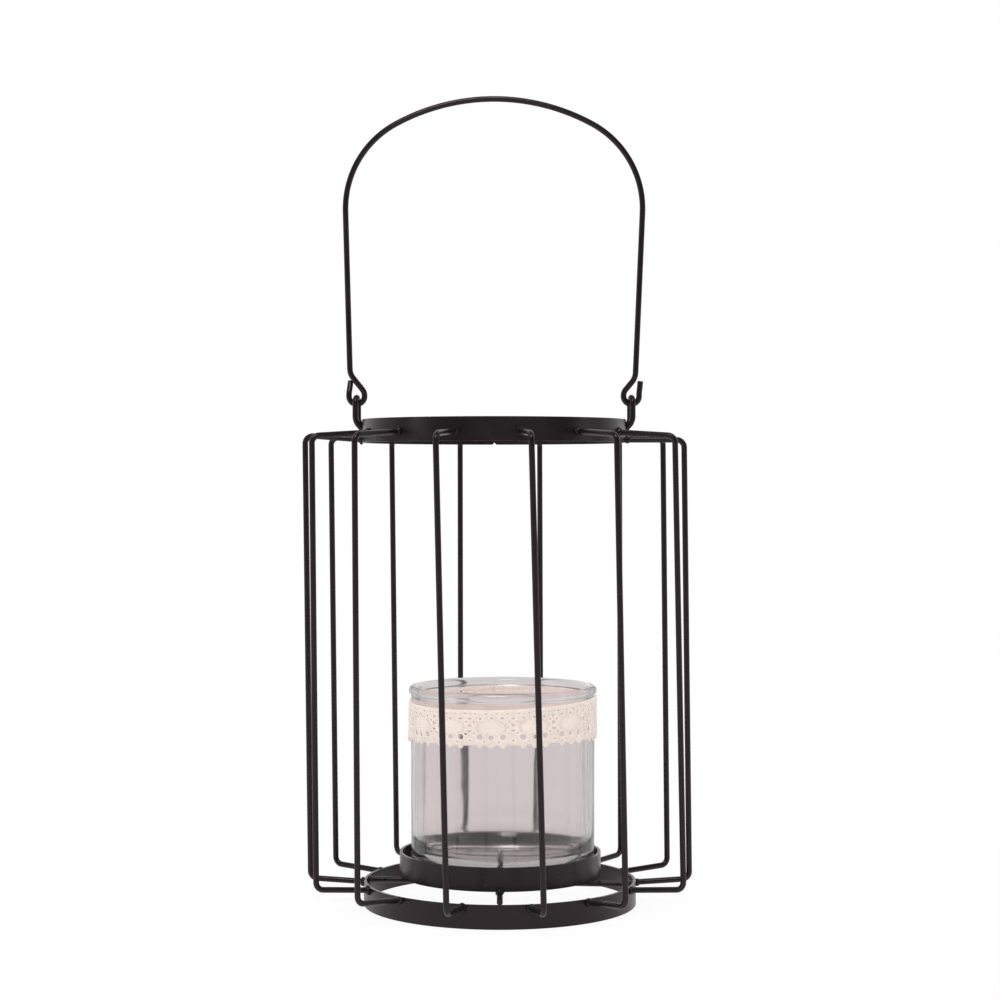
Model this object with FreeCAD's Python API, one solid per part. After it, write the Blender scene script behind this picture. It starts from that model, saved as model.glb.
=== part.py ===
import FreeCAD, Part
import math
import os

# Candle lantern: a cage of bent wires between two flat hoops, a glass jar in the middle
# and a wire bail on top. Millimetres and degrees, +Z up, the front faces -Y. The origin
# lies under the middle of the lantern, on the surface that it stands on.

# Stock
ROD_DIA = 3.0                  # round rod of the cage, the cross, the eyes and the bail
STRIP_HEIGHT = 12.0            # flat strip of the three rings, standing on edge
STRIP_THICK = 1.5

# Rings
BOTTOM_RING_DIA = 141.6        # outside
TOP_RING_DIA = 137.0           # outside
TOP_RING_RISE = 239.3          # lower edge of the top ring above the floor
TOP_RING_LEAN = 3.0            # the top ring sits this far left of the bottom ring
SEAM_NOTCH_DEPTH = 1.2         # V notch where the ends of the top ring's strip butt
SEAM_NOTCH_WIDTH = 2.0
CUP_CLEARANCE = 3.1            # all round, between the cup ring and a jar in its middle
CUP_RING_OFFSET = 0.2          # to the right of the bottom ring's middle

# Cross under the jar
SIDE_ROD_TURN = 6.0            # the side to side rod is this far out of square

# Cage wires
CAGE_DIA = 200.2               # over the outside of the wires
FIRST_WIRE_ANGLE = -67.0       # from the front, towards the right, at the upper end
WIRE_TWIST = 1.5               # the lower end is turned this far on from the upper end
WIRE_BEND_RADIUS = 4.0         # at the middle of the rod
TOP_WELD_RISE = 5.0            # where the upper arms are welded, above the ring's lower edge
TOP_ARM_DROP = 2.0             # each upper arm falls this much on its way out
BOTTOM_ARM_RISE = 2.0          # each lower arm rises this much on its way out
EYE_ARM_DROPS = {6: 0.0, 13: -2.4}  # the two arms under the eyes start on the ring's lower edge
# One entry per wire, going round: how far each end is welded off its even place.
UPPER_STRAY = (-1.4, -2.2, -0.7, 0.4, 1.4, 6, 0, 0, -3.2, 0.6, 1.2, -0.4, 1.9, 1)
LOWER_STRAY = (-5, -5.1, -0.9, 0.7, 1, 7.5, 0, -0.8, -3, 0.4, 1.3, -1.6, 1, 1)

# Welds
BEAD_RADIUS = 2.0              # lump of weld round the end of a rod
BEAD_STANDOFF = 0.5            # middle of the lump, out from the face it sits on
WELD_FIT = 0.05                # film between a rod's end and the strip

# Eyes and bail
HINGE_CLEARANCE = 0.45         # between the hook's rod and the eye's rod
EYE_STANDOFF = 2.9             # middle of the eye's rod, out from the top ring's face
EYE_RISE = 20.1                # hinge line above the lower edge of the top ring
EYE_FOOT_RISE = 5.5            # where the eye's feet meet the ring, above its lower edge
EYE_BEND_RISE = 11.0           # where the legs turn in towards the ring
EYE_BEND_RADIUS = 7.0
EYE_TURN = 9.0                 # each loop's front strand stands out by this turn
HOOK_RADIUS = 4.05             # at the middle of the rod
HOOK_NECK_RISE = 6.2           # from the hinge line to where the inner strand leans out
HOOK_BEND_RADIUS = 5.0
KNEE_BEND_RADIUS = 8.0
LEFT_KNEE_RISE = 15.6          # from the hinge line to the foot of the straight leg
RIGHT_KNEE_RISE = 13.6
LEFT_KNEE_OUT = 3.5            # foot of the leg, outside the middle of the hook
RIGHT_KNEE_OUT = 2.1
TAIL_BEND_RISE = 5.5
TAIL_RISE = 11.9               # from the hinge line to the cut end of the rod
LEFT_TAIL_LEAN = -0.7          # the left hook closes behind its leg, the right one stays open
LEFT_TAIL_BACK = 2.9
RIGHT_TAIL_LEAN = 0.7
RIGHT_TAIL_BACK = 0.0
BAIL_SPAN = 154.4              # between the shoulders, at the middle of the rod
BAIL_RISE = 158.5              # from the hinge line to the crown
BAIL_CROWN_RADIUS = 107.0
BAIL_SHOULDER_RADIUS = 50.0

# Jar and its lace
SEAT_CLEARANCE = 0.3           # between the jar and the rod it stands on
JAR_OFFSET = 1.35              # to the right of the cup ring's middle
JAR_DIA = 95.4
JAR_HEIGHT = 97.9
JAR_WALL = 3.2
JAR_BASE = 6.5
JAR_CORNER_RADIUS = 5.2        # outside, at the foot
JAR_INNER_RADIUS = 15.0        # inside, at the floor
JAR_FOOT_WIDTH = 4.0           # flat ring that the jar stands on
JAR_KICK = 1.8                 # hollow under the base
LIP_RADIUS = 2.9               # rolled lip, as a round bead
LIP_PROUD = 1.2                # the bead stands this far out from the side
LACE_HEIGHT = 19.4
LACE_THICK = 0.7
LACE_CLEARANCE = 0.3
LACE_DROP = 7.9                # from the jar's top to the upper edge of the lace
LACE_REPEATS = 14              # of the pattern, round the jar
LACE_TURN = 5.9                # from the front to the first column of eyelets
SMALL_EYELET_DIA = 1.6
ROW_EYELETS = 4                # in each repeat, in a row under the upper edge
ROW_DROP = 4.3                 # from the upper edge to the middle of that row
COLUMN_DROPS = (7.6, 10.6)     # the two eyelets that hang below the row in each column
LOW_EYELET_DIA = 2.6           # one over each scallop
LOW_EYELET_RISE = 5.7          # above the lower edge
PICOT_TURN = 5.9               # from a column to the scallop on either side of it
PICOT_GAP_DEPTH = 2.0          # V between two scallops
PICOT_GAP_WIDTH = 3.0

UP = FreeCAD.Vector(0, 0, 1)
ROD_RADIUS = ROD_DIA / 2
BOTTOM_RING_RADIUS = BOTTOM_RING_DIA / 2
TOP_RING_RADIUS = TOP_RING_DIA / 2
JAR_RADIUS = JAR_DIA / 2
CUP_RING_RADIUS = JAR_RADIUS + CUP_CLEARANCE + STRIP_THICK
CAGE_RADIUS = CAGE_DIA / 2 - ROD_RADIUS
WIRE_COUNT = len(UPPER_STRAY)
BOTTOM_MIDDLE = FreeCAD.Vector(TOP_RING_LEAN / 2, 0, 0)
TOP_MIDDLE = FreeCAD.Vector(-TOP_RING_LEAN / 2, 0, TOP_RING_RISE)
LOWER_ROD_Z = STRIP_HEIGHT - ROD_RADIUS
UPPER_ROD_Z = STRIP_HEIGHT + ROD_RADIUS
CUP_MIDDLE = BOTTOM_MIDDLE + FreeCAD.Vector(CUP_RING_OFFSET, 0, UPPER_ROD_Z + ROD_RADIUS)
JAR_MIDDLE = CUP_MIDDLE + FreeCAD.Vector(JAR_OFFSET, 0, SEAT_CLEARANCE)
HINGE_Z = TOP_RING_RISE + EYE_RISE
EYE_RADIUS = ROD_DIA + HINGE_CLEARANCE
HOOK_OUT = TOP_RING_RADIUS + EYE_STANDOFF
LACE_INSIDE = JAR_RADIUS + LACE_CLEARANCE


def outward(angle, radius, height=0.0):
    """A point at an angle from the front towards the right."""
    turn = math.radians(angle)
    return FreeCAD.Vector(radius * math.sin(turn), -radius * math.cos(turn), height)


def rounded_path(corners, radii):
    """Straight runs through the corners, each inner corner rounded by a tangent arc."""
    edges = []
    start = corners[0]
    for before, corner, after, radius in zip(corners, corners[1:], corners[2:], radii):
        back = (before - corner).normalize()
        ahead = (after - corner).normalize()
        half_angle = back.getAngle(ahead) / 2
        reach = radius / math.tan(half_angle)
        arc_start = corner + back * reach
        arc_end = corner + ahead * reach
        inward = (back + ahead).normalize()
        arc_middle = corner + inward * (radius / math.sin(half_angle) - radius)
        if start.distanceToPoint(arc_start) > 1e-4:
            edges.append(Part.LineSegment(start, arc_start).toShape())
        edges.append(Part.Arc(arc_start, arc_middle, arc_end).toShape())
        start = arc_end
    edges.append(Part.LineSegment(start, corners[-1]).toShape())
    return edges


def bent_rod(edges):
    """Round rod along a chain of tangent edges that starts with a straight run."""
    path = Part.Wire(edges)
    first = path.OrderedEdges[0]
    start = path.OrderedVertexes[0].Point
    section = Part.Wire(Part.makeCircle(ROD_RADIUS, start, first.tangentAt(first.FirstParameter)))
    return path.makePipeShell([section], True, False)


def straight_rod(start, end):
    return Part.makeCylinder(ROD_RADIUS, start.distanceToPoint(end), start, end - start)


def weld_bead(place):
    return Part.makeSphere(BEAD_RADIUS, place)


def flat_ring(radius, middle):
    outside = Part.makeCylinder(radius, STRIP_HEIGHT, middle, UP)
    inside = Part.makeCylinder(radius - STRIP_THICK, STRIP_HEIGHT, middle, UP)
    return outside.cut(inside)


def ring_core(radius, middle):
    """Everything inside a ring's outer face, to trim what is welded on from outside."""
    below = middle - UP * STRIP_HEIGHT
    return Part.makeCylinder(radius + WELD_FIT, 3 * STRIP_HEIGHT, below, UP)


def seam_notch():
    """V in the lower edge at the back, where the strip's two ends are butted."""
    half = SEAM_NOTCH_WIDTH / 2
    left = FreeCAD.Vector(-half, 0, 0)
    right = FreeCAD.Vector(half, 0, 0)
    peak = FreeCAD.Vector(0, 0, SEAM_NOTCH_DEPTH)
    wedge = Part.Face(Part.makePolygon([left, right, peak, left]))
    notch = wedge.extrude(FreeCAD.Vector(0, TOP_RING_DIA, 0))
    notch.translate(TOP_MIDDLE)
    return notch


def top_ring():
    return flat_ring(TOP_RING_RADIUS, TOP_MIDDLE).cut(seam_notch())


def bottom_ring():
    return flat_ring(BOTTOM_RING_RADIUS, BOTTOM_MIDDLE)


def cup_ring():
    return flat_ring(CUP_RING_RADIUS, CUP_MIDDLE)


def lower_cross_rod():
    """Side to side inside the bottom ring, level with its upper edge, welded at both ends."""
    inside = BOTTOM_RING_RADIUS - STRIP_THICK - WELD_FIT
    angle = 90 - SIDE_ROD_TURN
    level = BOTTOM_MIDDLE + UP * LOWER_ROD_Z
    reach = outward(angle, BOTTOM_RING_RADIUS)
    rod = straight_rod(level - reach, level + reach)
    for way in (-1, 1):
        rod = rod.fuse(weld_bead(level + outward(angle, way * (inside - BEAD_STANDOFF))))
    below = BOTTOM_MIDDLE - UP * STRIP_HEIGHT
    return rod.common(Part.makeCylinder(inside, 3 * STRIP_HEIGHT, below, UP))


def upper_cross_rod():
    """Front to back on top of the bottom ring, ends flush, welded to the cup ring's face."""
    front = outward(0, BOTTOM_RING_RADIUS)
    level = BOTTOM_MIDDLE + UP * UPPER_ROD_Z
    rod = straight_rod(level + front, level - front)
    cup_face = math.sqrt(CUP_RING_RADIUS ** 2 - CUP_RING_OFFSET ** 2)
    for way in (-1, 1):
        bead = weld_bead(level + outward(0, way * (cup_face + BEAD_STANDOFF), ROD_RADIUS))
        rod = rod.fuse(bead.cut(ring_core(CUP_RING_RADIUS, CUP_MIDDLE)))
    return rod


def cage_wire(index):
    """One wire of the cage: out from the top ring, down, and back to the bottom ring."""
    even = FIRST_WIRE_ANGLE + index * 360 / WIRE_COUNT
    upper = even + UPPER_STRAY[index]
    lower = even + WIRE_TWIST + LOWER_STRAY[index]
    drop = EYE_ARM_DROPS.get(index, TOP_ARM_DROP)
    weld_rise = ROD_RADIUS if index in EYE_ARM_DROPS else TOP_WELD_RISE
    top_arm = TOP_MIDDLE + UP * weld_rise
    bottom_arm = BOTTOM_MIDDLE + UP * LOWER_ROD_Z
    corners = [
        top_arm + outward(upper, TOP_RING_RADIUS - STRIP_THICK),
        top_arm + outward(upper, CAGE_RADIUS, -drop),
        bottom_arm + outward(lower, CAGE_RADIUS, BOTTOM_ARM_RISE),
        bottom_arm + outward(lower, BOTTOM_RING_RADIUS - STRIP_THICK),
    ]
    wire = bent_rod(rounded_path(corners, [WIRE_BEND_RADIUS, WIRE_BEND_RADIUS]))
    wire = wire.fuse(weld_bead(top_arm + outward(upper, TOP_RING_RADIUS + BEAD_STANDOFF)))
    wire = wire.fuse(weld_bead(bottom_arm + outward(lower, BOTTOM_RING_RADIUS + BEAD_STANDOFF)))
    wire = wire.cut(ring_core(TOP_RING_RADIUS, TOP_MIDDLE))
    return wire.cut(ring_core(BOTTOM_RING_RADIUS, BOTTOM_MIDDLE))


def eye(side):
    """U loop on one side of the top ring; its two legs turn in and are welded to the face."""
    away = math.radians(EYE_TURN)
    strand_out = EYE_RADIUS * math.sin(away)
    strand_along = EYE_RADIUS * math.cos(away)
    top_z = EYE_RISE + EYE_RADIUS

    def place(way, out, rise):
        spread = way * strand_out
        return TOP_MIDDLE + FreeCAD.Vector(side * (out + spread), -way * strand_along, rise)

    foot_out = TOP_RING_RADIUS - STRIP_THICK
    corners = [
        place(1, foot_out - strand_out, EYE_FOOT_RISE),
        place(1, HOOK_OUT, EYE_BEND_RISE),
        place(1, HOOK_OUT, top_z),
        place(-1, HOOK_OUT, top_z),
        place(-1, HOOK_OUT, EYE_BEND_RISE),
        place(-1, foot_out + strand_out, EYE_FOOT_RISE),
    ]
    loop = bent_rod(rounded_path(corners, [EYE_BEND_RADIUS, EYE_RADIUS, EYE_RADIUS, EYE_BEND_RADIUS]))
    return loop.cut(ring_core(TOP_RING_RADIUS, TOP_MIDDLE))


def bail_point(side, out, rise, back=0.0):
    return FreeCAD.Vector(TOP_MIDDLE.x + side * out, back, HINGE_Z + rise)


def bail_side(side, knee_out, knee_rise, tail_lean, tail_back):
    """One shoulder arc, leg and hook, and the point where the shoulder meets the crown."""
    crown_z = BAIL_RISE - BAIL_CROWN_RADIUS
    shoulder_out = BAIL_SPAN / 2 - BAIL_SHOULDER_RADIUS
    step = BAIL_CROWN_RADIUS - BAIL_SHOULDER_RADIUS
    lift = math.sqrt(step ** 2 - shoulder_out ** 2)
    shoulder_z = crown_z + lift
    meet_angle = math.atan2(lift, shoulder_out)
    leg_out = HOOK_OUT + knee_out
    run = math.hypot(leg_out - shoulder_out, knee_rise - shoulder_z)
    down = math.atan2(knee_rise - shoulder_z, leg_out - shoulder_out)
    leg_angle = down + math.acos(BAIL_SHOULDER_RADIUS / run)

    def on_shoulder(angle):
        out = shoulder_out + BAIL_SHOULDER_RADIUS * math.cos(angle)
        return bail_point(side, out, shoulder_z + BAIL_SHOULDER_RADIUS * math.sin(angle))

    meet = on_shoulder(meet_angle)
    leg_top = on_shoulder(leg_angle)
    shoulder = Part.Arc(meet, on_shoulder((meet_angle + leg_angle) / 2), leg_top).toShape()
    corners = [
        leg_top,
        bail_point(side, leg_out, knee_rise),
        bail_point(side, HOOK_OUT - HOOK_RADIUS, HOOK_NECK_RISE),
        bail_point(side, HOOK_OUT - HOOK_RADIUS, 0),
        bail_point(side, HOOK_OUT + HOOK_RADIUS, 0),
        bail_point(side, HOOK_OUT + HOOK_RADIUS, TAIL_BEND_RISE),
        bail_point(side, HOOK_OUT + HOOK_RADIUS + tail_lean, TAIL_RISE, tail_back),
    ]
    bends = [KNEE_BEND_RADIUS, HOOK_BEND_RADIUS, HOOK_RADIUS, HOOK_RADIUS, HOOK_BEND_RADIUS]
    return meet, [shoulder] + rounded_path(corners, bends)


def bail():
    """One rod from tail to tail: hook, leg, shoulder, crown, and the same again."""
    left = bail_side(-1, LEFT_KNEE_OUT, LEFT_KNEE_RISE, LEFT_TAIL_LEAN, LEFT_TAIL_BACK)
    right = bail_side(1, RIGHT_KNEE_OUT, RIGHT_KNEE_RISE, RIGHT_TAIL_LEAN, RIGHT_TAIL_BACK)
    left_meet, left_edges = left
    right_meet, right_edges = right
    crown = Part.Arc(left_meet, bail_point(0, 0, BAIL_RISE), right_meet).toShape()
    return bent_rod(Part.__sortEdges__(left_edges + [crown] + right_edges))


def glass_jar():
    """Turned profile of the jar, with a rolled lip fused on top."""
    inside = JAR_RADIUS - JAR_WALL
    foot = JAR_RADIUS - JAR_CORNER_RADIUS
    kick_edge = foot - JAR_FOOT_WIDTH
    lip_z = JAR_HEIGHT - LIP_RADIUS
    diagonal = math.sqrt(0.5)

    def point(radius, rise):
        return FreeCAD.Vector(radius, 0, rise)

    def line(start, end):
        return Part.LineSegment(start, end).toShape()

    def arc(start, middle, end):
        return Part.Arc(start, middle, end).toShape()

    corner_mid = point(foot + JAR_CORNER_RADIUS * diagonal, JAR_CORNER_RADIUS * (1 - diagonal))
    floor = inside - JAR_INNER_RADIUS
    floor_mid = point(floor + JAR_INNER_RADIUS * diagonal, JAR_BASE + JAR_INNER_RADIUS * (1 - diagonal))
    kick_mid = point(kick_edge / 2, JAR_KICK * 0.75)
    profile = Part.Wire([
        arc(point(0, JAR_KICK), kick_mid, point(kick_edge, 0)),
        line(point(kick_edge, 0), point(foot, 0)),
        arc(point(foot, 0), corner_mid, point(JAR_RADIUS, JAR_CORNER_RADIUS)),
        line(point(JAR_RADIUS, JAR_CORNER_RADIUS), point(JAR_RADIUS, lip_z)),
        line(point(JAR_RADIUS, lip_z), point(inside, lip_z)),
        line(point(inside, lip_z), point(inside, JAR_BASE + JAR_INNER_RADIUS)),
        arc(point(inside, JAR_BASE + JAR_INNER_RADIUS), floor_mid, point(floor, JAR_BASE)),
        line(point(floor, JAR_BASE), point(0, JAR_BASE)),
        line(point(0, JAR_BASE), point(0, JAR_KICK)),
    ])
    body = Part.Face(profile).revolve(FreeCAD.Vector(), UP, 360)
    lip_ring = JAR_RADIUS + LIP_PROUD - LIP_RADIUS
    lip = Part.makeTorus(lip_ring, LIP_RADIUS, UP * lip_z, UP)
    jar = body.fuse(lip).removeSplitter()
    jar.translate(JAR_MIDDLE)
    return jar


def eyelet(angle, rise, dia):
    """Cutter for a round hole straight through the lace."""
    start = outward(angle, LACE_INSIDE - LACE_THICK, rise)
    return Part.makeCylinder(dia / 2, 3 * LACE_THICK, start, outward(angle, 1))


def picot_gap(angle, low):
    """Cutter for the V between two scallops of the lower edge."""
    edge = outward(angle, LACE_INSIDE - LACE_THICK, low)
    side = outward(angle + 90, PICOT_GAP_WIDTH / 2)
    peak = edge + UP * PICOT_GAP_DEPTH
    wedge = Part.Face(Part.makePolygon([edge - side, edge + side, peak, edge - side]))
    return wedge.extrude(outward(angle, 3 * LACE_THICK))


def lace_band():
    """Band round the jar: a row and columns of small eyelets, and larger ones over the scallops."""
    high = JAR_HEIGHT - LACE_DROP
    low = high - LACE_HEIGHT
    band = Part.makeCylinder(LACE_INSIDE + LACE_THICK, LACE_HEIGHT, UP * low, UP)
    band = band.cut(Part.makeCylinder(LACE_INSIDE, LACE_HEIGHT, UP * low, UP))
    repeat = 360 / LACE_REPEATS
    row_step = repeat / ROW_EYELETS
    gap_turn = (PICOT_TURN + repeat / 2) / 2
    cutters = []
    for index in range(LACE_REPEATS):
        column = LACE_TURN + index * repeat
        for count in range(ROW_EYELETS):
            cutters.append(eyelet(column + count * row_step, high - ROW_DROP, SMALL_EYELET_DIA))
        for drop in COLUMN_DROPS:
            cutters.append(eyelet(column, high - drop, SMALL_EYELET_DIA))
        for turn in (-PICOT_TURN, PICOT_TURN, repeat / 2):
            cutters.append(eyelet(column + turn, low + LOW_EYELET_RISE, LOW_EYELET_DIA))
        for turn in (-gap_turn, 0, gap_turn):
            cutters.append(picot_gap(column + turn, low))
    band = band.cut(cutters)
    band.translate(JAR_MIDDLE)
    return band


def save(name, shape):
    shape.exportStep("parts/" + name + ".step")


os.makedirs("parts", exist_ok=True)
save("top_ring", top_ring())
save("bottom_ring", bottom_ring())
save("cup_ring", cup_ring())
save("lower_cross_rod", lower_cross_rod())
save("upper_cross_rod", upper_cross_rod())
for number in range(WIRE_COUNT):
    save("cage_wire_%02d" % (number + 1), cage_wire(number))
save("eye_left", eye(-1))
save("eye_right", eye(1))
save("bail", bail())
save("glass_jar", glass_jar())
save("lace_band", lace_band())
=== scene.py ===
import math
from collections import namedtuple

import bmesh
import bpy
import numpy as np
from mathutils import Matrix, Vector, noise


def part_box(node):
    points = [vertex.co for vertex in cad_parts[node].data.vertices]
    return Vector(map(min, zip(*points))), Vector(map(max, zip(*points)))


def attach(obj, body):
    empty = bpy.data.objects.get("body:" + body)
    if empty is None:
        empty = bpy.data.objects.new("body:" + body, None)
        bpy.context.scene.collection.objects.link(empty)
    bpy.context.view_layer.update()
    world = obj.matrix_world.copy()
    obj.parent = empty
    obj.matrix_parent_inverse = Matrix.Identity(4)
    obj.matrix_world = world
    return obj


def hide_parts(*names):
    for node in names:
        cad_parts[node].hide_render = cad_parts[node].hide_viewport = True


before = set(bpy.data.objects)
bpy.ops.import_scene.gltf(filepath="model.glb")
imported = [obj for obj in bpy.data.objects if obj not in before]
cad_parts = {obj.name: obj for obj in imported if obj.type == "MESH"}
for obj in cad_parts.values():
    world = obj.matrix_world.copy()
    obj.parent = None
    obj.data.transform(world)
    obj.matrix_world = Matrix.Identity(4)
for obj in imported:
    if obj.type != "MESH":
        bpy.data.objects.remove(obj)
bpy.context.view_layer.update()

# Looks of the candle lantern. Metres, +Z up, the front faces -Y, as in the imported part.
JOIN_WITHIN = 1e-6               # points nearer than this are one

# Camera, level with the upper half of the cage and tipped down a little
CAMERA_PLACE = (0.0016, -1.134, 0.2214)
CAMERA_DIP = math.radians(0.6)
LENS_MM = 78.44
SENSOR_MM = 36

# Light on matt surfaces from all round, and what gloss and glass show of the studio
WORLD_LEVEL = 1.0
CAMERA_SIDE_LEVEL = 0.10         # what gloss mirrors of the dim room behind the camera
GLOSS_EDGE = (-0.4, 1.0)         # how far to the back a mirrored ray points, from dim to white
BACKDROP_LEVEL = 0.66            # what shows of the backdrop and floor through glass
CEILING_LEVEL = 0.60             # the same for the dimmer ceiling
CEILING_EDGE = (0.15, 0.75)      # how steeply a ray through glass climbs, from backdrop to ceiling

# Lamps: name, place, width and height, watts
LAMPS = (
    ("left_softbox", (-1.1, -0.45, 0.55), (0.25, 1.0), 1.0),
    ("right_softbox", (1.15, -0.15, 0.55), (0.25, 1.0), 0.6),
    ("top_softbox", (-0.15, -0.8, 1.25), (0.5, 0.4), 6.0),
)
LAMP_AIM = (0, 0, 0.2)

# Floor
FLOOR_SIZE = 8.0
FLOOR_COLOUR = (0.9, 0.9, 0.9, 1)
FLOOR_GLOSS = 0.75               # what gloss mirrors of the floor
FLOOR_GLOW = 0.9                 # share of the floor's white that a shadow can't take away
SHADOW_REACH = 0.35              # past this the floor is plain white

# Paint; grain sizes are given as grains to the metre, bumps as depth and strength
PAINT_DARK = (0.0054, 0.0036, 0.0041)
PAINT_LIGHT = (0.0100, 0.0070, 0.0077)
PAINT_ROUGHNESS = (0.24, 0.34)
PAINT_GLOSS = 0.42
PAINT_GLOSS_TINT = (1.0, 0.82, 0.91, 1)
PAINT_PATCHES = 55
PAINT_PEEL = 620
PAINT_SPECKS = 2100
PEEL_BUMP = (0.00003, 0.08)
SPECK_BUMP = (0.00001, 0.04)

# Jar, with a lip a little finer than the part's
LIP_PROUD = 0.0012               # lip past the jar's side
LIP_RADIUS = 0.0024
LIP_DEPTH = 0.006
JAR_WALL = 0.0032
JAR_BASE = 0.0065
JAR_CORNER = 0.0052
JAR_INNER_CORNER = 0.015
JAR_FOOT_WIDTH = 0.004
JAR_KICK = 0.0018                # hollow under the base, with a small step at its edge
JAR_KICK_STEP = 0.0002
JAR_STEPS = 192                  # round the jar
LIP_POINTS = 36                  # in its half section
SIDE_POINTS = 44
CORNER_POINTS = 12
FLOOR_POINTS = 14
FOOT_POINTS = 3

# Hand-made unevenness of the glass: depth, and how fine it is round the jar and up it
OUTER_WAVE = 0.00014
INNER_WAVE = 0.00012
OUTER_SWELLS = (1.7, 34)
OUTER_RIPPLES = (9, 12)
INNER_RIBS = (5.5, 18)
INNER_RIPPLES = (14, 20)
RIPPLE_SHARE = 0.2
CALM_RADIUS = 0.03               # nearer to the jar's middle than this, the waves die out

# Glass
GLASS_TINT = (0.965, 0.913, 0.92)
GLASS_DEEP_AND_SHADED = (0.54, 0.50, 0.50)  # tint of the thick base: partly the thick glass's own absorption, partly painted shade of the jar sitting in the cup
GLASS_IOR = 1.48
WALL_ROUGHNESS = (0.06, 0.10)
BASE_FROST = 0.10                # roughness that the moulded base and the fire-polished lip add
LIP_FROST = 0.05
GLASS_WAVES = 45
GLASS_SMEARS = 18
SMEAR_EDGE = (0.4, 0.75)         # noise from the smoothest to the roughest of the wall
GLASS_BUMP = (0.0004, 0.3)

# Lace
LACE_REPEATS = 14
LACE_TURN = math.radians(185.9)  # from the front to the column where the band's ends meet
LACE_CELLS_ALONG = 80            # in each repeat
LACE_CELLS_DOWN = 72
LACE_SNAP = 0.7                  # share of a cell by which a point may move onto a rim
LACE_HALF_THICK = 0.00033
LACE_ROUNDING = 0.0004           # the cloth thins out this near a hole or an edge
LACE_SIDE_TILT = 0.0015          # upper edge, up at the right and down at the left
LACE_BACK_TILT = 0.0019          # upper edge, up at the back
LACE_LOW_TILT = 0.0007           # lower edge, up at the right and down at the left and back
LACE_FLARE = 0.0012              # lower edge, out from the glass
LACE_RIPPLE = 0.00012            # of the whole band
LACE_GAP = 0.0002                # between the cloth and the lip that it runs up to
LACE_WANDER = 0.00022            # threads off their even places

# Waves of the lace: how many round the band, slant in radians to the metre down, and start
WANDER_ASIDE = ((23, 260, 0.0), (41, -410, 1.3))
WANDER_UPRIGHT = ((19, 300, 0.7), (53, 150, 0.0))
# Flare of its lower edge: mean, then share, how many round the band, and start
FLARE_MEAN = 0.55
FLARE_WAVES = ((0.45, 2, 0.6), (0.25, 7, 0.0))

# Eyelets of the lace: down from its upper edge, half width, half height
ROW_EYELET = (0.0043, 0.00078, 0.00060)
ROW_COUNT = 4                    # in each repeat
HEADING_EYELET = (0.0021, 0.00052, 0.00036)
COLUMN_EYELETS = (
    (0.0077, 0.00100, 0.00068),
    (0.0105, 0.00115, 0.00042),
    (0.0153, 0.00046, 0.00040),
)
MIDDLE_EYELET = (0.0138, 0.00115, 0.00110)
# The same for pairs, with how far they lie to both sides of a column first
PICOT_SIDE = 0.0050
PAIRED_EYELETS = (
    (0.0020, 0.0061, 0.00046, 0.00052),
    (0.0023, 0.0119, 0.00050, 0.00048),
    (PICOT_SIDE, 0.0136, 0.00140, 0.00130),
    (0.0072, 0.0160, 0.00042, 0.00040),
)
PICOT_RADIUS = 0.0019            # loops of the lower edge
PICOT_DROP = 0.0015              # how far they hang below the rest of it

# Raised work of the lace: heights, and where and how wide it is
CORD_HEIGHT = 0.00026
CORD_OFF_RIM = 0.00042
CORD_WIDTH = 0.00030
MEDALLION_HEIGHT = 0.00026
MEDALLION_DROP = 0.0090
MEDALLION_HALF_WIDTH = 0.0066
MEDALLION_HALF_HEIGHT = 0.0040
STITCH_SHARE = 0.55
STITCH_PITCH = 0.00125
STITCH_SLANT = 0.0022
HEADING_HEIGHT = 0.00014
HEADING_DROP = 0.0009
HEADING_WIDTH = 0.0004
GROUND_HEIGHT = 0.00015
GROUND_WAVES = 18                # in each repeat
GROUND_PITCH = 0.0013
PIT_COUNT = 14                   # round each medallion
PIT_HALF_WIDTH = 0.0076
PIT_HALF_HEIGHT = 0.0036
PIT_RADIUS = 0.00050
PIT_DEPTH = 0.00024

# Cotton
COTTON_SHADED_AND_DARK_DYE = (0.74, 0.60, 0.53)  # painted shade between the threads, and the darkest of the uneven dye; the ramp runs from here to painted light on their tops
# painted light on the thread tops, and the palest of the uneven dye
COTTON_LIT_TOPS_AND_PALE_DYE = (0.98, 0.875, 0.81)
COTTON_PAINTED_SHADE_SPAN = (-0.0002, 0.00016)  # relief from between the threads, painted darkest, to their tops, painted lightest
COTTON_PAINTED_SHADE_SHARE = 0.7        # of the colour, painted shade and light from the relief, the rest being uneven dye
COTTON_DYE = 420
COTTON_FUZZ = 4200
THREADS_ACROSS = 560
THREADS_ALONG = 620
WEAVE_BUMP = (0.00018, 0.8)
FUZZ_BUMP = (0.00008, 0.6)
COTTON_VALUES = {
    "Roughness": 0.92,
    "Sheen Weight": 0.25,
    "Sheen Roughness": 0.6,
    "Specular IOR Level": 0.2,
    "Subsurface Weight": 0.3,
    "Subsurface Radius": (1.0, 1.0, 1.0),
    "Subsurface Scale": 0.0008,
}

# Welds and worn edges
LUMP_RADIUS = 0.0020
LUMP_STANDOFF = 0.0005
LUMP_STRETCH = (1.18, 0.92, 0.66)  # along its run, across it and out from the hoop
LUMP_SPREAD = 0.22               # of their sizes
LUMP_SWELL = (0.30, 1.4)         # unevenness of a lump: share of its size, and how fine
LUMP_GRAIN = (0.10, 4)
WELD_REACH = 0.0022              # part of a rod that counts as its end, off the hoop and up or down
WELD_BAND = 0.02
RING_EDGE = 0.00028              # worn-off corner of the strip
ROD_END_EDGE = 0.0007            # worn-off corner of the bail's two cut ends
EDGE_ANGLE = math.radians(50)    # sharper corners than this are worn off


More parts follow.
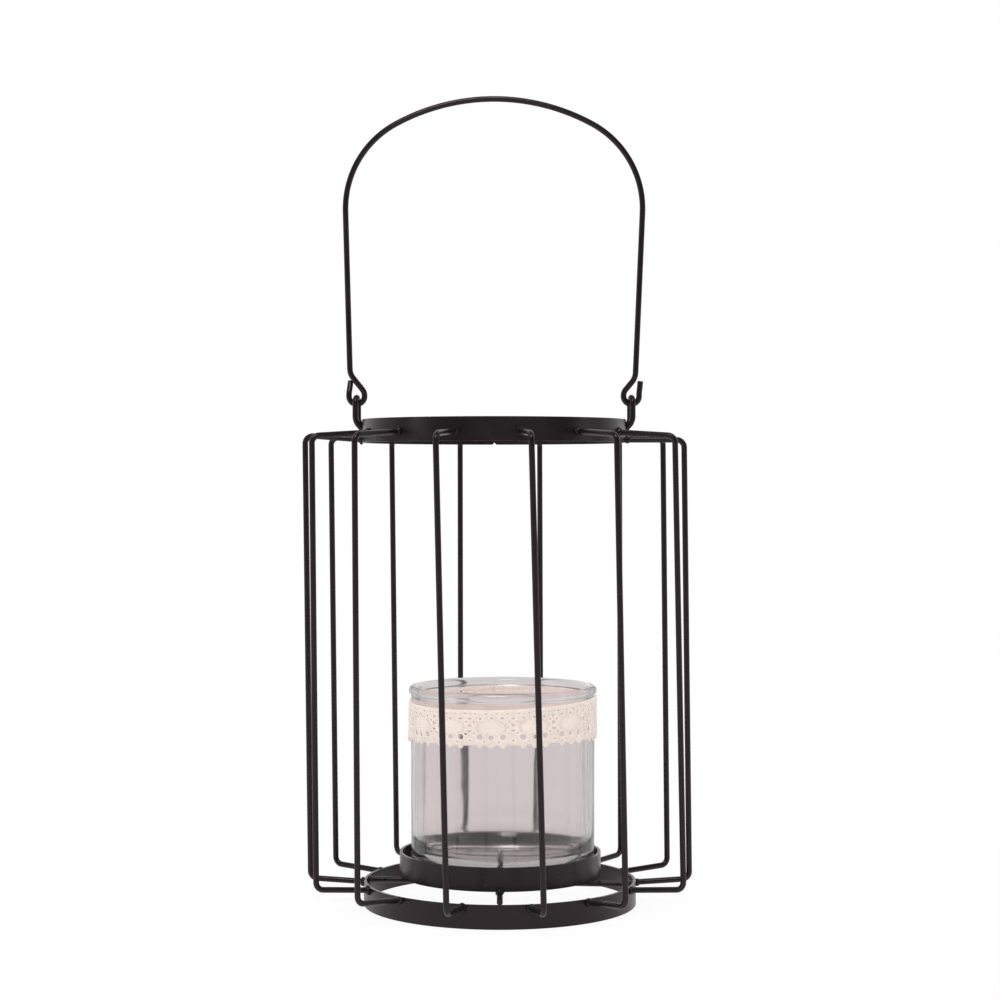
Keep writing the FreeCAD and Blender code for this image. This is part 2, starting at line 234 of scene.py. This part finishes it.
def shown(mesh, name, material, body):
    """A finished piece: smooth mesh, material and the body it rides on."""
    mesh.polygons.foreach_set("use_smooth", [True] * len(mesh.polygons))
    mesh.materials.append(material)
    piece = bpy.data.objects.new(name, mesh)
    bpy.context.scene.collection.objects.link(piece)
    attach(piece, body)
    return piece


class Shader:
    """A new material's nodes, with short ways to add and join them."""

    def __init__(self, name):
        self.material = bpy.data.materials.new(name)
        self.material.use_nodes = True
        self.tree = self.material.node_tree
        self.surface = self.tree.nodes["Principled BSDF"]

    def node(self, kind, **values):
        made = self.tree.nodes.new("ShaderNode" + kind)
        for key, value in values.items():
            if key in made.inputs:
                made.inputs[key].default_value = value
            else:
                setattr(made, key, value)
        return made

    def join(self, source, target):
        self.tree.links.new(source, target)

    def place(self, output="Object"):
        return self.node("TexCoord").outputs[output]

    def noise(self, vector, scale, detail=2.0, roughness=0.5):
        made = self.node("TexNoise", Scale=scale, Detail=detail, Roughness=roughness)
        self.join(vector, made.inputs["Vector"])
        return made.outputs["Fac"]

    def spread(self, value, low, high, start=0.3, end=0.7):
        made = self.node("MapRange")
        for key, number in zip(("From Min", "From Max", "To Min", "To Max"), (start, end, low, high)):
            made.inputs[key].default_value = number
        self.join(value, made.inputs["Value"])
        return made.outputs["Result"]

    def ramp(self, value, low, high, start=0.3, end=0.7):
        made = self.node("ValToRGB")
        made.color_ramp.elements[0].position = start
        made.color_ramp.elements[1].position = end
        made.color_ramp.elements[0].color = (*low, 1)
        made.color_ramp.elements[1].color = (*high, 1)
        self.join(value, made.inputs["Fac"])
        return made.outputs["Color"]

    def bump(self, height, depth, strength=1.0, under=None):
        made = self.node("Bump", Strength=strength, Distance=depth)
        self.join(height, made.inputs["Height"])
        if under is not None:
            self.join(under, made.inputs["Normal"])
        return made.outputs["Normal"]

    def add(self, first, second, operation="ADD"):
        made = self.node("Math", operation=operation)
        self.join(first, made.inputs[0])
        self.join(second, made.inputs[1])
        return made.outputs[0]


def black_paint():
    """Satin black paint, sprayed on by hand: uneven sheen, orange peel and small specks."""
    make = Shader("satin_black_paint")
    place = make.place()
    patches = make.noise(place, PAINT_PATCHES, 4)
    peel = make.noise(place, PAINT_PEEL, 2)
    specks = make.noise(place, PAINT_SPECKS, 1)
    make.join(make.ramp(patches, PAINT_DARK, PAINT_LIGHT), make.surface.inputs["Base Color"])
    make.join(make.spread(patches, *PAINT_ROUGHNESS), make.surface.inputs["Roughness"])
    rough = make.bump(peel, *PEEL_BUMP)
    make.join(make.bump(specks, *SPECK_BUMP, rough), make.surface.inputs["Normal"])
    make.surface.inputs["Specular IOR Level"].default_value = PAINT_GLOSS
    make.surface.inputs["Specular Tint"].default_value = PAINT_GLOSS_TINT
    return make.material


def clear_glass():
    """Clear glass with a rosy cast, darker in its thick base partly from absorption and partly as painted
    shade, with waves and smears; light gets in.
    """
    make = Shader("clear_glass")
    place = make.place()
    waves = make.noise(place, GLASS_WAVES, 2)
    smears = make.noise(place, GLASS_SMEARS, 3)
    split = make.node("SeparateXYZ")
    make.join(place, split.inputs[0])
    height = split.outputs["Z"]
    low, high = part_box("glass_jar")
    floor = low.z + JAR_BASE
    thin = floor + JAR_INNER_CORNER
    base = make.spread(height, BASE_FROST, 0.0, low.z, thin)
    lip = make.spread(height, 0.0, LIP_FROST, high.z - 1.5 * LIP_DEPTH, high.z - LIP_DEPTH)
    wall = make.spread(smears, *WALL_ROUGHNESS, *SMEAR_EDGE)
    make.join(make.bump(waves, *GLASS_BUMP), make.surface.inputs["Normal"])
    make.join(make.add(make.add(base, lip), wall), make.surface.inputs["Roughness"])
    # Painted shade, together with absorption: the colour darkens in the thick base and fades out up the
    # inner corner
    deep = make.spread(height, 0.0, 1.0, floor, thin)
    make.join(make.ramp(deep, GLASS_DEEP_AND_SHADED, GLASS_TINT, 0.0, 1.0), make.surface.inputs["Base Color"])
    make.surface.inputs["Transmission Weight"].default_value = 1.0
    make.surface.inputs["IOR"].default_value = GLASS_IOR
    rays = make.node("LightPath")
    lit = make.add(rays.outputs["Is Shadow Ray"], rays.outputs["Is Diffuse Ray"], "MAXIMUM")
    clear = make.node("BsdfTransparent")
    mix = make.node("MixShader")
    make.join(lit, mix.inputs["Fac"])
    make.join(make.surface.outputs[0], mix.inputs[1])
    make.join(clear.outputs[0], mix.inputs[2])
    make.join(mix.outputs[0], make.tree.nodes["Material Output"].inputs["Surface"])
    return make.material


def cotton():
    """Unbleached cotton: crossing threads, painted shade between them and painted light on their tops,
    soft sheen and uneven dye.
    """
    make = Shader("cotton_lace")
    threads = make.place("UV")
    dye = make.noise(threads, COTTON_DYE, 4, 0.6)
    fuzz = make.noise(threads, COTTON_FUZZ, 2)
    # Painted shade and light: the colour darkens where the relief is low, between the threads, and
    # lightens on raised tops
    raised = make.node("Attribute", attribute_name="relief").outputs["Fac"]
    tops = make.spread(raised, 0.0, COTTON_PAINTED_SHADE_SHARE, *COTTON_PAINTED_SHADE_SPAN)
    tone = make.add(tops, make.spread(dye, 0.0, 1 - COTTON_PAINTED_SHADE_SHARE))
    make.join(make.ramp(tone, COTTON_SHADED_AND_DARK_DYE, COTTON_LIT_TOPS_AND_PALE_DYE, 0.0, 1.0), make.surface.inputs["Base Color"])
    across = make.node("TexWave", Scale=THREADS_ACROSS, Distortion=2.5, Detail=1.0)
    along = make.node("TexWave", Scale=THREADS_ALONG, Distortion=3.0, Detail=1.0, bands_direction="Y")
    make.join(threads, across.inputs["Vector"])
    make.join(threads, along.inputs["Vector"])
    weave = make.add(across.outputs["Fac"], along.outputs["Fac"])
    woven = make.bump(weave, *WEAVE_BUMP)
    make.join(make.bump(fuzz, *FUZZ_BUMP, woven), make.surface.inputs["Normal"])
    for socket, value in COTTON_VALUES.items():
        make.surface.inputs[socket].default_value = value
    return make.material


def arc(centre, radius, start, end, count):
    """Points of an arc in the jar's half section, from angle to angle in degrees."""
    turns = [math.radians(start + (end - start) * index / count) for index in range(count + 1)]
    return [(centre[0] + radius * math.cos(t), centre[1] + radius * math.sin(t)) for t in turns]


def line(start, end, count):
    """Points between two places, without the last one."""
    shares = [index / count for index in range(count)]
    return [(start[0] + (end[0] - start[0]) * s, start[1] + (end[1] - start[1]) * s) for s in shares]


def jar_section(side, height):
    """Half section of the jar from under its base, over the lip, to the middle of its floor."""
    inside = side - JAR_WALL
    foot = side - JAR_CORNER
    kick = foot - JAR_FOOT_WIDTH
    floor = inside - JAR_INNER_CORNER
    lip = (side + LIP_PROUD - LIP_RADIUS, height - LIP_RADIUS)
    outer_turn = -math.degrees(math.acos((LIP_RADIUS - LIP_PROUD) / LIP_RADIUS))
    inner_turn = 360 - math.degrees(math.acos((inside - lip[0]) / LIP_RADIUS))
    bead = arc(lip, LIP_RADIUS, outer_turn, inner_turn, LIP_POINTS)
    bend = JAR_BASE + JAR_INNER_CORNER
    points = line((0.0, JAR_KICK), (kick, JAR_KICK_STEP), FLOOR_POINTS)
    points += line((kick, 0.0), (foot, 0.0), FOOT_POINTS)
    points += arc((foot, JAR_CORNER), JAR_CORNER, -90, 0, CORNER_POINTS)[:-1]
    points += line((side, JAR_CORNER), bead[0], SIDE_POINTS)
    points += bead[:-1]
    points += line(bead[-1], (inside, bend), SIDE_POINTS)
    points += arc((floor, bend), JAR_INNER_CORNER, 0, -90, CORNER_POINTS)[:-1]
    points += line((floor, JAR_BASE), (0.0, JAR_BASE), FLOOR_POINTS)
    return points + [(0.0, JAR_BASE)]


def glass_wave(turn, height, inside):
    """How far a face of the glass strays: slow swells outside, upright ribs inside."""
    around = Vector((math.cos(turn), math.sin(turn), 0))

    def uneven(fineness, start):
        return noise.noise(around * fineness[0] + Vector((*start, height * fineness[1])))

    if inside:
        return INNER_WAVE * (uneven(INNER_RIBS, (0, 2)) + RIPPLE_SHARE * uneven(INNER_RIPPLES, (7, 0)))
    return OUTER_WAVE * (uneven(OUTER_SWELLS, (3, 0)) + RIPPLE_SHARE * uneven(OUTER_RIPPLES, (0, 5)))


def make_jar(material):
    """The glass jar, turned from its half section, with uneven faces."""
    low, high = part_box("glass_jar")
    middle = (low + high) / 2
    side = (high.x - low.x) / 2 - LIP_PROUD
    points = jar_section(side, high.z - low.z)
    mesh = bpy.data.meshes.new("glass_jar_blown")
    lip_top = max(range(len(points)), key=lambda index: points[index][1])
    vertices = []
    for index, (radius, rise) in enumerate(points):
        for step in range(JAR_STEPS):
            turn = 2 * math.pi * step / JAR_STEPS
            stray = glass_wave(turn, rise, index > lip_top) * min(1.0, radius / CALM_RADIUS)
            reach = max(radius + stray, 0.0)
            x, y = reach * math.cos(turn), reach * math.sin(turn)
            vertices.append((middle.x + x, middle.y + y, low.z + rise))
    faces = []
    for row in range(len(points) - 1):
        for step in range(JAR_STEPS):
            after = (step + 1) % JAR_STEPS
            base = row * JAR_STEPS
            faces.append((base + step, base + after, base + JAR_STEPS + after, base + JAR_STEPS + step))
    mesh.from_pydata(vertices, [], faces)
    joined(mesh)
    jar = shown(mesh, "glass_jar_blown", material, "jar")
    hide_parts("glass_jar")
    return jar


def lace_holes(repeat):
    """Eyelets of one repeat: along from the column, down from the upper edge, half sizes."""
    holes = [(repeat / 2, *MIDDLE_EYELET)]
    for count in range(ROW_COUNT):
        holes.append((count * repeat / ROW_COUNT, *ROW_EYELET))
        holes.append(((count + 0.5) * repeat / ROW_COUNT, *HEADING_EYELET))
    holes += [(0.0, *eyelet) for eyelet in COLUMN_EYELETS]
    for aside, *eyelet in PAIRED_EYELETS:
        holes += [(-aside, *eyelet), (aside, *eyelet)]
    return holes


def around_column(along, place, repeat):
    """Signed distance along the band to the nearest copy of a place in the repeat."""
    return (along - place + repeat / 2) % repeat - repeat / 2


def eyelet_distance(along, down, repeat):
    """How far outside the nearest eyelet a point lies."""
    nearest = np.full(along.shape, 1.0)
    for place, drop, half_width, half_height in lace_holes(repeat):
        across = around_column(along, place, repeat) / half_width
        upright = (down - drop) / half_height
        gap = (np.hypot(across, upright) - 1) * min(half_width, half_height)
        nearest = np.minimum(nearest, gap)
    return nearest


def edge_distance(along, down, repeat, height):
    """How far inside the band's straight upper and scalloped lower edge a point lies."""
    lower = height - PICOT_DROP - down
    for place in (-PICOT_SIDE, PICOT_SIDE, repeat / 2):
        across = around_column(along, place, repeat)
        picot = PICOT_RADIUS - np.hypot(across, down - (height - PICOT_RADIUS))
        lower = np.maximum(lower, picot)
    return np.minimum(down, lower)


def lace_relief(along, down, repeat, eyelets):
    """Raised work on the lace: corded eyelets and heading, medallions in a ring of pits, ground."""
    cords = CORD_HEIGHT * np.exp(-(((eyelets - CORD_OFF_RIM) / CORD_WIDTH) ** 2))
    across, upright = around_column(along, repeat / 2, repeat), down - MEDALLION_DROP
    oval = np.hypot(across / MEDALLION_HALF_WIDTH, upright / MEDALLION_HALF_HEIGHT)
    stitches = 1 + STITCH_SHARE * np.cos(2 * math.pi * down / STITCH_PITCH + across / STITCH_SLANT)
    medallion = MEDALLION_HEIGHT * np.sqrt(np.clip(1 - oval, 0, 1)) * stitches
    heading = HEADING_HEIGHT * np.exp(-(((down - HEADING_DROP) / HEADING_WIDTH) ** 2))
    columns = np.cos(2 * GROUND_WAVES * math.pi * along / repeat)
    ground = GROUND_HEIGHT * columns * np.cos(2 * math.pi * down / GROUND_PITCH)
    pits = np.zeros(along.shape)
    for turn in np.arange(PIT_COUNT) * 2 * math.pi / PIT_COUNT:
        aside, above = PIT_HALF_WIDTH * math.cos(turn), PIT_HALF_HEIGHT * math.sin(turn)
        gap = np.hypot(across - aside, upright - above)
        pits += np.exp(-((gap / PIT_RADIUS) ** 2))
    return cords + medallion + heading + ground - PIT_DEPTH * pits


def wander(along, down, band):
    """Small smooth drift of the threads, closed round the band."""
    turn = 2 * math.pi * along / band

    def drift(waves):
        return LACE_WANDER * sum(np.sin(n * turn + slant * down + start) for n, slant, start in waves) / 2

    return drift(WANDER_ASIDE), drift(WANDER_UPRIGHT)


Band = namedtuple("Band", "length height radius middle lip_ring lip_rise")


def lace_size():
    """The band's sizes and place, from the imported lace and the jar's lip above it."""
    low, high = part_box("lace_band")
    jar_low, jar_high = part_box("glass_jar")
    radius = (high.x - low.x) / 2 - LACE_HALF_THICK
    middle = ((low.x + high.x) / 2, (low.y + high.y) / 2, high.z)
    lip_ring = (jar_high.x - jar_low.x) / 2 - LIP_RADIUS
    lip_rise = jar_high.z - LIP_RADIUS - high.z
    return Band(2 * math.pi * radius, high.z - low.z, radius, middle, lip_ring, lip_rise)


def lace_grid(band):
    """The band laid flat: places of the grid's points, how deep in the cloth, and relief."""
    repeat = band.length / LACE_REPEATS
    columns = LACE_REPEATS * LACE_CELLS_ALONG
    step_along, step_down = band.length / columns, band.height / LACE_CELLS_DOWN
    along, down = np.meshgrid(
        np.arange(columns) * step_along, np.arange(LACE_CELLS_DOWN + 1) * step_down, indexing="ij"
    )
    aside, upright = wander(along, down, band.length)
    eyelets = eyelet_distance(along + aside, down + upright, repeat)
    edges = edge_distance(along + aside, down + upright / 3, repeat, band.height)
    depth = np.minimum(eyelets, edges)
    relief = lace_relief(along + aside, down + upright, repeat, eyelets)
    slope_along = (np.roll(depth, -1, 0) - np.roll(depth, 1, 0)) / (2 * step_along)
    slope_down = np.gradient(depth, step_down, axis=1)
    steep = slope_along**2 + slope_down**2 + 1e-6
    most_along, most_down = LACE_SNAP * step_along, LACE_SNAP * step_down
    near = np.abs(depth) < most_along * np.sqrt(steep)
    move = np.where(near, -depth / steep, 0)
    along = along + np.clip(move * slope_along, -most_along, most_along)
    down = down + np.clip(move * slope_down, -most_down, most_down)
    depth = np.where(near, 0.0, depth)
    ends = [np.vstack([field, field[:1]]) for field in (along, down, depth, relief)]
    ends[0][-1] += band.length
    return ends


def lace_point(along, down, out, band):
    """Places on the jar for points of the flat band, out from the middle of the cloth."""
    turn = LACE_TURN + 2 * math.pi * along / band.length
    share = down / band.height
    upper = LACE_SIDE_TILT * np.sin(turn) + LACE_BACK_TILT * (1 - np.cos(turn))
    lower = LACE_LOW_TILT * (np.sin(turn) - 1 + np.cos(turn))
    rise = upper * (1 - share) + lower * share - down
    ease = sum((part * np.sin(n * turn + start) for part, n, start in FLARE_WAVES), FLARE_MEAN)
    flare = LACE_FLARE * np.clip(ease, 0, None) * share**2
    reach = band.radius + flare + LACE_RIPPLE * np.sin(5 * turn + 9 * share)
    bead = np.sqrt(np.clip(LIP_RADIUS**2 - (rise - band.lip_rise) ** 2, 0, None))
    reach = np.maximum(reach, band.lip_ring + bead + LACE_GAP + LACE_HALF_THICK) + out
    flat = np.stack([reach * np.sin(turn), -reach * np.cos(turn), rise], -1)
    return flat.reshape(-1, 3) + np.array(band.middle)


def lace_cells(depth):
    """Faces of one side of the cloth: cells with no corner in a hole, cut off where one is."""
    columns, rows = depth.shape
    index = np.arange(columns * rows).reshape(columns, rows)
    cells = np.stack([index[:-1, :-1], index[:-1, 1:], index[1:, 1:], index[1:, :-1]], -1).reshape(-1, 4)
    inside = depth.reshape(-1)[cells] >= 0
    cloth = (depth.reshape(-1)[cells] > 0).any(1)
    whole = cells[cloth & (inside.sum(1) == 4)].tolist()
    cut = cloth & (inside.sum(1) == 3)
    return whole + cells[cut][inside[cut]].reshape(-1, 3).tolist()


def rim_points(faces):
    """Points on the edge of the cloth or of a hole, where its two sides meet."""
    pairs = [sorted(pair) for face in faces for pair in zip(face, face[1:] + face[:1])]
    edges, uses = np.unique(np.array(pairs), axis=0, return_counts=True)
    return np.unique(edges[uses == 1])


def lace_mesh(band):
    """Both sides of the lace wrapped round the jar, closed along every edge."""
    along, down, depth, relief = lace_grid(band)
    faces = lace_cells(depth)
    rim = rim_points(faces)
    depth.reshape(-1)[rim] = 0
    round_off = np.clip(depth / LACE_ROUNDING, 0, 1)
    body = LACE_HALF_THICK * np.sqrt(1 - (1 - round_off) ** 2)
    outer = lace_point(along, down, body + relief * round_off, band)
    inner = lace_point(along, down, -body, band)
    faces += [[corner + depth.size for corner in reversed(face)] for face in faces]
    mesh = bpy.data.meshes.new("lace_trim")
    mesh.from_pydata(np.concatenate([outer, inner]).tolist(), [], faces)
    flat = np.tile(np.stack([along, down], -1).reshape(-1, 2), (2, 1))
    corners = np.empty(len(mesh.loops), np.int32)
    mesh.loops.foreach_get("vertex_index", corners)
    # Relief kept on the mesh, which the cotton turns into painted shade and painted light
    raised = np.tile((relief * round_off).reshape(-1), 2).astype(np.float32)
    mesh.attributes.new("relief", "FLOAT", "POINT").data.foreach_set("value", raised)
    threads = mesh.uv_layers.new(name="UVMap")
    threads.data.foreach_set("uv", flat[corners].reshape(-1).astype(np.float32))
    joined(mesh)
    return mesh


def joined(mesh):
    """Points that lie on one another become one, and faces that this closes up go."""
    shell = bmesh.new()
    shell.from_mesh(mesh)
    bmesh.ops.remove_doubles(shell, verts=shell.verts, dist=JOIN_WITHIN)
    loose = [vertex for vertex in shell.verts if not vertex.link_faces]
    bmesh.ops.delete(shell, geom=loose, context="VERTS")
    bmesh.ops.recalc_face_normals(shell, faces=shell.faces)
    shell.to_mesh(mesh)
    shell.free()


def make_lace(material):
    """The lace trim as a sheet of cloth that is held round the jar."""
    band = lace_size()
    mesh = lace_mesh(band)
    lace = shown(mesh, "lace_trim", material, "jar")
    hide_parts("lace_band")


def corners_of(node):
    """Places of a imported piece's mesh points."""
    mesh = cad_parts[node].data
    places = np.empty(len(mesh.vertices) * 3, np.float32)
    mesh.vertices.foreach_get("co", places)
    return places.reshape(-1, 3)


def ring_of(node):
    """Middle and outer radius of one of the strip hoops."""
    low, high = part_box(node)
    return (low + high) / 2, (high.x - low.x) / 2


def weld_on_ring(node, ring):
    """Where a rod's end meets a hoop's outer face, and the way out from it."""
    middle, radius = ring_of(ring)
    places = corners_of(node)
    reach = np.hypot(places[:, 0] - middle.x, places[:, 1] - middle.y)
    close = (reach < radius + WELD_REACH) & (np.abs(places[:, 2] - middle.z) < WELD_BAND)
    place = Vector(places[close].mean(0))
    out = Vector((place.x - middle.x, place.y - middle.y, 0)).normalized()
    face = Vector((middle.x, middle.y, place.z)) + out * radius
    return face + out * LUMP_STANDOFF, out


def welds():
    """Places and directions of all the lumps of weld."""
    found = []
    for node in sorted(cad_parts):
        if node.startswith("cage_wire"):
            found.append(weld_on_ring(node, "top_ring"))
            found.append(weld_on_ring(node, "bottom_ring"))
    cup, cup_radius = ring_of("cup_ring")
    cup_low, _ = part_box("cup_ring")
    rod_low, rod_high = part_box("upper_cross_rod")
    rod_x = (rod_low.x + rod_high.x) / 2
    for way in (-1, 1):
        out = Vector((0, way, 0))
        found.append((Vector((rod_x, cup.y + way * cup_radius, cup_low.z)) + out * LUMP_STANDOFF, out))
    return found


def lump(shell, place, out, seed):
    """One lump of weld: a flattened, uneven drop that has run a little to the side."""
    wobble = Vector((seed * 3.1, seed * 1.7, seed * 0.9))
    size = LUMP_RADIUS * (1 + LUMP_SPREAD * noise.noise(wobble))
    made = bmesh.ops.create_icosphere(shell, subdivisions=3, radius=1.0)
    turn = out.to_track_quat("Z", "Y").to_matrix()
    spin = Matrix.Rotation(seed * 2.4, 3, "Z")
    stretch = Matrix.Diagonal(LUMP_STRETCH)
    for vertex in made["verts"]:
        swell = 1 + LUMP_SWELL[0] * noise.noise(vertex.co * LUMP_SWELL[1] + wobble)
        swell += LUMP_GRAIN[0] * noise.noise(vertex.co * LUMP_GRAIN[1] + wobble)
        vertex.co = place + turn @ (spin @ (stretch @ (vertex.co * swell * size)))


def make_welds(material):
    """All the lumps of weld in one mesh on the frame."""
    shell = bmesh.new()
    for seed, (place, out) in enumerate(welds()):
        lump(shell, place, out, seed + 1)
    mesh = bpy.data.meshes.new("weld_lumps")
    shell.to_mesh(mesh)
    shell.free()
    return shown(mesh, "weld_lumps", material, "frame")


def paint_metal(material):
    """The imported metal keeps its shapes; edges of the hoops and cut ends of the bail are softened."""
    widths = {"top_ring": RING_EDGE, "bottom_ring": RING_EDGE, "cup_ring": RING_EDGE, "bail": ROD_END_EDGE}
    for name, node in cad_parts.items():
        if name in ("glass_jar", "lace_band"):
            continue
        node.data.materials.clear()
        node.data.materials.append(material)
        if name in widths:
            edge = node.modifiers.new("soft_edge", "BEVEL")
            edge.width = widths[name]
            edge.segments = 3
            edge.limit_method = "ANGLE"
            edge.angle_limit = EDGE_ANGLE


def make_floor():
    """White floor: as bright as the backdrop where the lantern's shadow doesn't fall."""
    make = Shader("studio_floor")
    rays = make.node("LightPath")
    seen = make.add(rays.outputs["Is Camera Ray"], rays.outputs["Is Glossy Ray"], "MAXIMUM")
    seen = make.add(seen, rays.outputs["Is Transmission Ray"], "MAXIMUM")
    away = make.node("VectorMath", operation="LENGTH")
    make.join(make.place(), away.inputs[0])
    fade = make.spread(away.outputs["Value"], FLOOR_GLOW, 1.0, SHADOW_REACH / 3, SHADOW_REACH)
    glow = make.node("Emission")
    level = make.node("Mix", B=BACKDROP_LEVEL)
    make.join(rays.outputs["Is Transmission Ray"], level.inputs["Factor"])
    make.join(make.spread(rays.outputs["Is Glossy Ray"], 1.0, FLOOR_GLOSS, 0.0, 1.0), level.inputs["A"])
    make.join(level.outputs["Result"], glow.inputs["Strength"])
    matt = make.node("BsdfDiffuse", Color=FLOOR_COLOUR)
    mix = make.node("MixShader")
    make.join(make.add(seen, fade, "MULTIPLY"), mix.inputs["Fac"])
    make.join(matt.outputs[0], mix.inputs[1])
    make.join(glow.outputs[0], mix.inputs[2])
    make.join(mix.outputs[0], make.tree.nodes["Material Output"].inputs["Surface"])
    half = FLOOR_SIZE / 2
    mesh = bpy.data.meshes.new("floor")
    corners = [(-half, -half, 0), (half, -half, 0), (half, half, 0), (-half, half, 0)]
    mesh.from_pydata(corners, [], [(0, 1, 2, 3)])
    mesh.materials.append(make.material)
    floor = bpy.data.objects.new("floor", mesh)
    bpy.context.scene.collection.objects.link(floor)


def make_world():
    """White to the camera; gloss meets the dim front of the room, glass a greyer backdrop and ceiling."""
    world = bpy.data.worlds.new("studio")
    bpy.context.scene.world = world
    world.use_nodes = True
    nodes, links = world.node_tree.nodes, world.node_tree.links
    rays = nodes.new("ShaderNodeLightPath")
    way = nodes.new("ShaderNodeSeparateXYZ")
    links.new(nodes.new("ShaderNodeTexCoord").outputs["Generated"], way.inputs[0])

    def graded(axis, edge, first, last):
        fall = nodes.new("ShaderNodeMapRange")
        fall.interpolation_type = "SMOOTHSTEP"
        for key, number in zip(fall.inputs.keys()[1:5], (*edge, first, last)):
            fall.inputs[key].default_value = number
        links.new(way.outputs[axis], fall.inputs["Value"])
        return fall.outputs["Result"]

    def chosen(before, ray, value):
        mix = nodes.new("ShaderNodeMix")
        links.new(rays.outputs[ray], mix.inputs["Factor"])
        for source, socket in ((before, mix.inputs["A"]), (value, mix.inputs["B"])):
            if isinstance(source, float):
                socket.default_value = source
            else:
                links.new(source, socket)
        return mix.outputs["Result"]

    level = chosen(WORLD_LEVEL, "Is Glossy Ray", graded("Y", GLOSS_EDGE, CAMERA_SIDE_LEVEL, 1.0))
    level = chosen(level, "Is Transmission Ray", graded("Z", CEILING_EDGE, BACKDROP_LEVEL, CEILING_LEVEL))
    level = chosen(level, "Is Camera Ray", 1.0)
    background = nodes["Background"]
    background.inputs["Color"].default_value = (1, 1, 1, 1)
    links.new(level, background.inputs["Strength"])


def make_lights():
    """Soft boxes that all face the lantern."""
    for name, place, size, watts in LAMPS:
        lamp = bpy.data.lights.new(name, "AREA")
        lamp.shape = "RECTANGLE"
        lamp.size, lamp.size_y = size
        lamp.energy = watts
        box = bpy.data.objects.new(name, lamp)
        box.location = place
        box.rotation_euler = (Vector(LAMP_AIM) - Vector(place)).to_track_quat("-Z", "Y").to_euler()
        bpy.context.scene.collection.objects.link(box)


def make_camera():
    """The camera where the photograph was taken from."""
    lens = bpy.data.cameras.new("camera")
    lens.lens, lens.sensor_width = LENS_MM, SENSOR_MM
    camera = bpy.data.objects.new("camera", lens)
    camera.location = CAMERA_PLACE
    camera.rotation_euler = (math.pi / 2 - CAMERA_DIP, 0, 0)
    bpy.context.scene.collection.objects.link(camera)
    bpy.context.scene.camera = camera


paint = black_paint()
paint_metal(paint)
make_welds(paint)
jar = make_jar(clear_glass())
make_lace(cotton())
make_floor()
make_world()
make_lights()
make_camera()
bpy.context.scene.view_settings.view_transform = "Standard"
